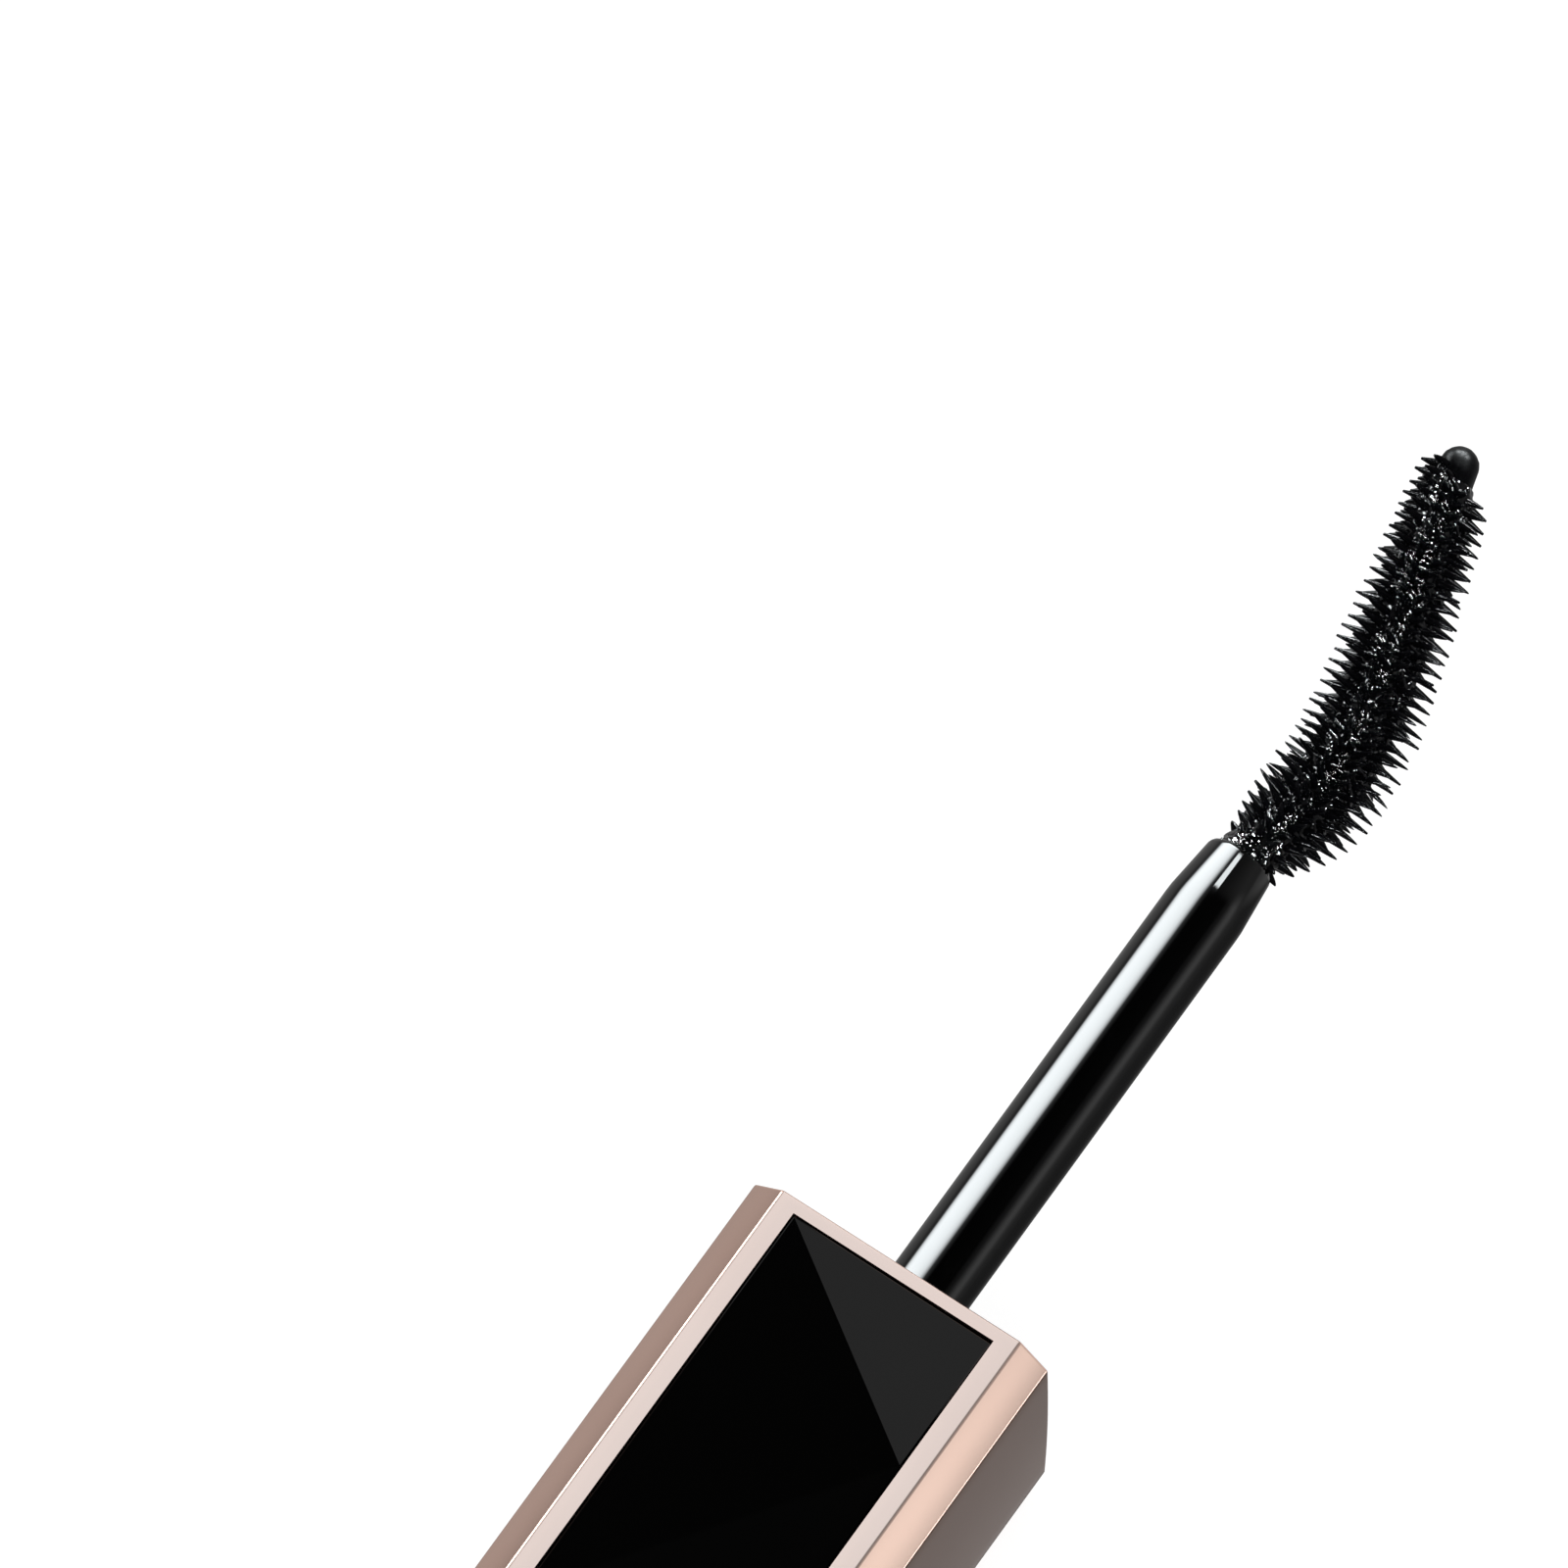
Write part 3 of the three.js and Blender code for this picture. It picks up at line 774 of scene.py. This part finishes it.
# %% Turn the container
NECK_R, RIM = 4.8, 13.6  # the neck's radius, and how far its rim stands out of the shoulder
neck = turned([(SHOULDER + x, r) for x, r in (
    # the closed end and the outer wall
    (61.2, 0), (61.2, 6.0), (60.6, 6.6), (1.35, 6.6),
    # the neck and its rim
    (1.35, NECK_R + 0.25), (1.1, NECK_R), (-9.9, NECK_R), (-10.0, NECK_R),
    (-RIM + 0.35, NECK_R), (-RIM + 0.1, NECK_R - 0.1), (-RIM, NECK_R - 0.3),
    # the bore, which widens to the inner wall
    (-RIM, 3.9), (-RIM + 0.12, 3.75), (2.4, 3.75), (4.2, 5.5), (59.2, 5.5), (60, 4.7), (60, 0))])
ridge = thread_ridge(root=NECK_R - 0.2, crest=5.4, start=SHOULDER - 10.5, pitch=2.4, turns=1.5,
                     width=0.95, tip=0.4)
add_copy(neck, as_mesh(ridge, "ridge"), Matrix.Identity(4))
settle(neck, "container_with_neck", "bottle", "inner_bottle", [LINER], sharp=32)

# %% Turn the wiper
wiper = turned([(SHOULDER + x, r) for x, r in (
    # the flange on the neck's rim
    (-RIM - 0.05, 3.67), (-RIM - 0.05, 4.5), (-RIM - 0.1, 4.55), (-RIM - 0.32, 4.55),
    (-RIM - 0.4, 4.45), (-RIM - 0.4, 3.35), (-RIM - 0.3, 3.2), (-RIM - 0.1, 3.15),
    # the funnel down to the narrow lip
    (-7, 3.15), (-3.7, 2.4), (-3.5, 2.34), (-3.1, 2.34), (-3.0, 2.42),
    # and back up its outside
    (-3.0, 2.9), (-3.2, 3.05), (-6.2, 3.67), (-RIM - 0.05, 3.67))])
settle(wiper, "wiper_soft", "bottle", "wiper", [GREY_RUBBER], sharp=32)

# %% [markdown]
# ## The flat pieces and the hidden ones
# The collar, the base plug, its sticker, the gasket, the liner and the steel weight are plain parts
# whose engineering shapes are right. Each is copied, merged and finished in its own material, and
# all but the liner are given small rounded edges.

# %% Copies, each with the width of its rounded edges
for node, name, body, slot, finish, width in (
        ("neck_collar", "collar_plate", "bottle", "bottle_metal", ROSE_GOLD, 0.08),
        ("base_plug", "base_plug_plate", "bottle", "bottle_metal", ROSE_GOLD, 0.12),
        ("base_label", "base_sticker", "bottle", "label_paper", STICKER, 0.04),
        ("gasket", "gasket_ring", "gasket", "gasket_rubber", BLACK_RUBBER, 0.08),
        ("cap_weight", "weight_slug", "weight", "weight_steel", STEEL, 0.25),
        ("inner_cap", "liner_threaded", "wand", "liner_plastic", LINER, 0.0)):
    copied = copy_of(node)
    if width:
        round_off(copied, creases(copied, 60), width, segments=3)
    settle(copied, name, body, node, [finish], sharp=28)

# %% [markdown]
# ## The formula in the bottle
# What is left of the formula coats the container's wall, and leaves the brush an open channel wide
# enough for its whole bend. It is spun like the container that it lines.

# %% Turn the formula's lining
WETTED_R, CHANNEL_R = 5.38, 4.95  # just inside the container's wall, and the open channel
lining = turned([(SHOULDER + x, r) for x, r in (
    (59.88, 0), (59.88, 4.3), (59.7, 4.7), (58.98, WETTED_R), (9.0, WETTED_R), (8.5, 5.3),
    (8.5, 5.2), (10, 4.98), (20, CHANNEL_R), (56.9, CHANNEL_R), (57.6, 4.7), (58, 4.1),
    (58, 0))], steps=64)
settle(lining, "formula_lining", "bottle", "mascara_fill", [WET_FORMULA], sharp=40)

# %% [markdown]
# ## Camera
# A long lens from well above, so that the long edges stay parallel: the tube runs up and to the
# right, and its front, one chamfer and its right side show together.

# %% Camera
AZIMUTH, ELEVATION = -55.65, 68.25
FRAME_WIDTH = 79.76 * MM  # what the picture takes in at the tube
AIM_LEFT, AIM_UP = 23.29 * MM, 3.83 * MM  # from the rod's end to the middle of the picture
DISTANCE = 1.2
SENSOR = 36.0
az, el = math.radians(AZIMUTH), math.radians(ELEVATION)
back = Vector((math.sin(az) * math.cos(el), -math.cos(az) * math.cos(el), math.sin(el)))
right = Vector((math.cos(az), math.sin(az), 0))
up = back.cross(right)
rod_tip = Vector((rod_high.x, 0, AXIS_HEIGHT))
target = rod_tip - right * AIM_LEFT + up * AIM_UP
lens = bpy.data.cameras.new("camera")
lens.type, lens.sensor_width = "PERSP", SENSOR
lens.lens = SENSOR * DISTANCE / FRAME_WIDTH
lens.clip_start, lens.clip_end = 0.05, 20.0
camera = bpy.data.objects.new("camera", lens)
camera.matrix_world = (Matrix.Translation(target + back * DISTANCE)
                       @ Matrix((right, up, back)).transposed().to_4x4())
bpy.context.scene.collection.objects.link(camera)
bpy.context.scene.camera = camera
print(f"lens {lens.lens:.0f} mm at {DISTANCE} m")

# %% [markdown]
# ## Floor
# A light table: a sheet of white acrylic lit from below, so that the tube throws hardly any shadow.
# It is left out of the reflections, because black lacquer would show nothing but table.

# %% Floor
table = bmesh.new()
bmesh.ops.create_grid(table, x_segments=2, y_segments=2, size=3.0)
floor_mesh = as_mesh(table, "table_top")
floor = bpy.data.objects.new("table_top", floor_mesh)
bpy.context.scene.collection.objects.link(floor)
acrylic = Finish("lit_acrylic", Roughness=0.7, Specular_IOR_Level=0.1, Emission_Strength=0.82)
cloud = acrylic.noise(0.02, 2, 0.5)
floor_mesh.materials.append(acrylic.shade(
    Base_Color=acrylic.blend(cloud, rgb(0.29, 0.29, 0.29), rgb(0.31, 0.31, 0.31)),
    Emission_Color=acrylic.blend(cloud, rgb(0.98, 0.98, 0.98), rgb(1, 1, 1))))
floor.visible_glossy = False

# %% [markdown]
# ## Studio
# Shiny things show only what stands round them. What matters is therefore where the lights are along
# the arc over the tube: 0 degrees is overhead, minus is the tube's left and plus its right. The room
# itself is painted into the world, dim overhead and paler at the sides. The lights are flat cards
# that face the tube from places on the arc. As on a real set, where each part is lit in its own
# exposure, a card lights only the group of pieces that it is meant for.

# %% The dim room
# (degrees round the arc, brightness): what the long sides mirror, and what everything else does
ROOM_ALONG = [(-180, 0.30), (-150, 0.36), (-120, 0.42), (-104, 0.46), (-96, 0.40), (-89, 0.14),
              (-80, 0.08), (-17, 0.06), (-12, 0.012), (-6, 0.010), (6, 0.010), (45, 0.02), (51, 0.10),
              (57, 0.15), (62, 0.30), (68, 0.60), (74, 0.88), (80, 0.88), (87, 0.50), (93, 0.32),
              (108, 0.18), (125, 0.12), (146, 0.10), (160, 0.155), (172, 0.175), (180, 0.28)]
ROOM_ROUND = [(-180, 0.55), (-120, 0.55), (-100, 0.5), (-90, 0.25), (-70, 0.30), (-30, 0.15),
              (0, 0.08), (30, 0.15), (70, 0.30), (90, 0.25), (100, 0.5), (120, 0.55), (180, 0.55)]
# the lengthwise part of every direction that the camera sees mirrored in the long sides, and how far
# from it the one list gives way to the other
VIEWED_X, WITHIN, BEYOND = 0.306, 0.12, 0.22

world = bpy.data.worlds.new("studio")
world.use_nodes = True
world.cycles.sampling_method = "NONE"
bpy.context.scene.world = world


class Room(Finish):
    """The same wiring, on the world's nodes."""
    def __init__(self, tree):
        self.tree = tree


def arc_ramp(finish, angle, levels):
    """Brightness against degrees round the arc."""
    return finish.node("ShaderNodeValToRGB", {
        "stops": [((a + 180) / 360, rgb(level, level, level)) for a, level in levels]}, {"Fac": angle})


room = Room(world.node_tree)
facing = room.node("ShaderNodeTexCoord", out="Generated")
parts = room.node("ShaderNodeSeparateXYZ", {}, {0: facing})
along, across, height = (Wire(room, parts.socket.node.outputs[axis]) for axis in "XYZ")
angle = (across * -1.0).math("ARCTAN2", height) / math.tau + 0.5
elsewhere = (along - VIEWED_X).math("ABSOLUTE").between(WITHIN, BEYOND)
seen = room.blend(elsewhere, arc_ramp(room, angle, ROOM_ALONG), arc_ramp(room, angle, ROOM_ROUND))
glossy = room.node("ShaderNodeLightPath", out="Is Glossy Ray")
room_light = room.node("ShaderNodeBackground", {}, {"Color": seen, "Strength": 1.0})
soft_light = room.node("ShaderNodeBackground", {}, {"Color": rgb(1, 1, 1), "Strength": 1.0})
mixed = room.node("ShaderNodeMixShader", {}, {0: glossy, 1: soft_light, 2: room_light})
room.tree.links.new(mixed.socket, room.tree.nodes["World Output"].inputs["Surface"])

# %% Who stands in which light
GROUPS = {
    "metal": ("cap_sleeve", "bottle_sleeve", "collar_plate", "base_plug_plate", "weight_slug"),
    "rod": ("rod_polished", "container_with_neck", "liner_threaded", "gasket_ring", "wiper_soft"),
    "plates": ("cap_front_plate", "bottle_front_plate"),
    "brush": ("brush_moulded", "brush_formula"),
}
LIT = {}
for group, names in GROUPS.items():
    LIT[group] = bpy.data.collections.new("lit_" + group)
    for name in names:
        LIT[group].objects.link(bpy.data.objects[name])


# %% A card of light
MIDDLE_X = -0.03  # the middle of what the camera sees, in metres


def card(name, group, arc, along, level, tint=(1, 1, 1), edges=None, distance=0.8):
    """A flat softbox facing the tube. `arc` is its span in degrees, `along` its (low, high)
    lengthwise directions, `level` its brightness, `edges` an optional list of (degrees, share)
    across it."""
    middle, half = math.radians(sum(arc) / 2), math.radians((arc[1] - arc[0]) / 2)
    low, high = (distance * x / math.sqrt(1 - x * x) for x in along)
    lamp = bpy.data.lights.new(name, "AREA")
    lamp.shape, lamp.size, lamp.size_y = "RECTANGLE", high - low, 2 * distance * math.tan(half)
    lamp.energy = math.pi * lamp.size * lamp.size_y
    lamp.use_nodes = True
    wiring = Room(lamp.node_tree)
    colour = rgb(*tint)
    if edges:
        place = wiring.node("ShaderNodeSeparateXYZ", {}, {
            0: wiring.node("ShaderNodeNewGeometry", out="Position")})
        y, z = (Wire(wiring, place.socket.node.outputs[axis]) for axis in "YZ")
        turn = (y * -1.0).math("ARCTAN2", z - AXIS_HEIGHT) / math.tau + 0.5
        colour = wiring.node("ShaderNodeMix", {"data_type": "RGBA", "blend_type": "MULTIPLY"},
                             {0: 1.0, 6: arc_ramp(wiring, turn, edges), 7: colour}, out=2)
    glow = wiring.node("ShaderNodeEmission", {}, {"Color": colour, "Strength": level})
    out = wiring.tree.nodes.get("Light Output") or wiring.tree.nodes.new("ShaderNodeOutputLight")
    wiring.tree.links.new(glow.socket, out.inputs["Surface"])
    outward = Vector((0, -math.sin(middle), math.cos(middle)))
    lengthwise = Vector((1, 0, 0))
    made = bpy.data.objects.new(name, lamp)
    stands = outward * distance + Vector((MIDDLE_X + (low + high) / 2, 0, AXIS_HEIGHT))
    faces = Matrix((lengthwise, outward.cross(lengthwise), outward)).transposed().to_4x4()
    made.matrix_world = Matrix.Translation(stands) @ faces
    bpy.context.scene.collection.objects.link(made)
    made.visible_camera = made.visible_diffuse = False
    made.light_linking.receiver_collection = LIT[group]


# %% The cards; the brush's glints come from eight small bright ones
COOL = (0.93, 0.98, 1.0)
card("softbox_for_rod", "rod", (-93, -7), (-0.6, 0.85), 22, COOL, edges=[
    (-92, 0.0), (-84, 0.02), (-79, 0.50), (-73, 0.80), (-67, 0.94), (-58, 0.98), (-50, 0.99),
    (-40, 0.96), (-34, 0.88), (-28.5, 0.78), (-23, 0.46), (-17.5, 0.028), (-11, 0.008), (-7, 0.003)])
card("taper_light_for_rod", "rod", (-9, 6), (0.50, 0.66), 20, COOL)
card("overhead_for_metal", "metal", (-45, 30), (-0.7, 0.8), 1.0, (0.90, 1.13, 1.28), edges=[
    (-44, 0.3), (-25, 1), (10, 1), (29, 0.0)])
card("end_for_metal", "metal", (-60, 30), (0.81, 0.97), 1.2, (0.90, 1.10, 1.23))
card("left_for_metal", "metal", (-78, -50), (0.12, 0.5), 3.2, (0.95, 1.05, 1.1))
card("shoulder_for_metal", "metal", (31, 62), (0.1, 0.6), 0.30, (0.95, 1.05, 1.1))
card("chamfer_for_metal", "metal", (66, 88), (0.1, 0.55), 0.29, (0.95, 1.20, 1.25))
card("right_for_metal", "metal", (95, 105), (0.12, 0.5), 3.0, (0.95, 1.05, 1.1))
for name, arc, shares in (("left", (-118, -50), [(-118, 0.35), (-98, 1.0), (-78, 0.75), (-50, 0.2)]),
                          ("right", (50, 118), [(50, 0.2), (78, 0.75), (98, 1.0), (118, 0.35)])):
    card(name + "_back_for_metal", "metal", arc, (-0.85, 0.1), 0.55, edges=shares)
    card(name + "_front_for_metal", "metal", arc, (0.6, 0.9), 0.55, edges=shares)
card("cap_end_for_metal", "metal", (-40, 40), (-0.97, -0.72), 0.9, (0.95, 1.05, 1.1))
SPARK_ARC, SPARK_ALONG = 3, 0.03  # half the size of a spark
card("left_for_brush", "brush", (-90, -66), (0.1, 0.55), 24.0, COOL)
card("edge_for_brush", "brush", (-60, -10), (0.90, 0.955), 150, COOL)
for i, (arc, along, level) in enumerate((
        (-23, 0.79, 850), (-60, 0.784, 1100), (19, 0.855, 1100), (-45.5, -0.497, 1100),
        (18, -0.583, 1100), (-21, -0.806, 1100), (-5.5, 0.17, 320), (35, 0.3, 320))):
    card(f"spark_for_brush_{i}", "brush", (arc - SPARK_ARC, arc + SPARK_ARC),
         (along - SPARK_ALONG, along + SPARK_ALONG), level, COOL)
card("corner_for_plates", "plates", (-60, 30), (0.308, 0.8), 0.46)

# %% Colour is shown plainly, so that white paper is white
bpy.context.scene.view_settings.view_transform = "Standard"
bpy.context.scene.view_settings.look = "None"
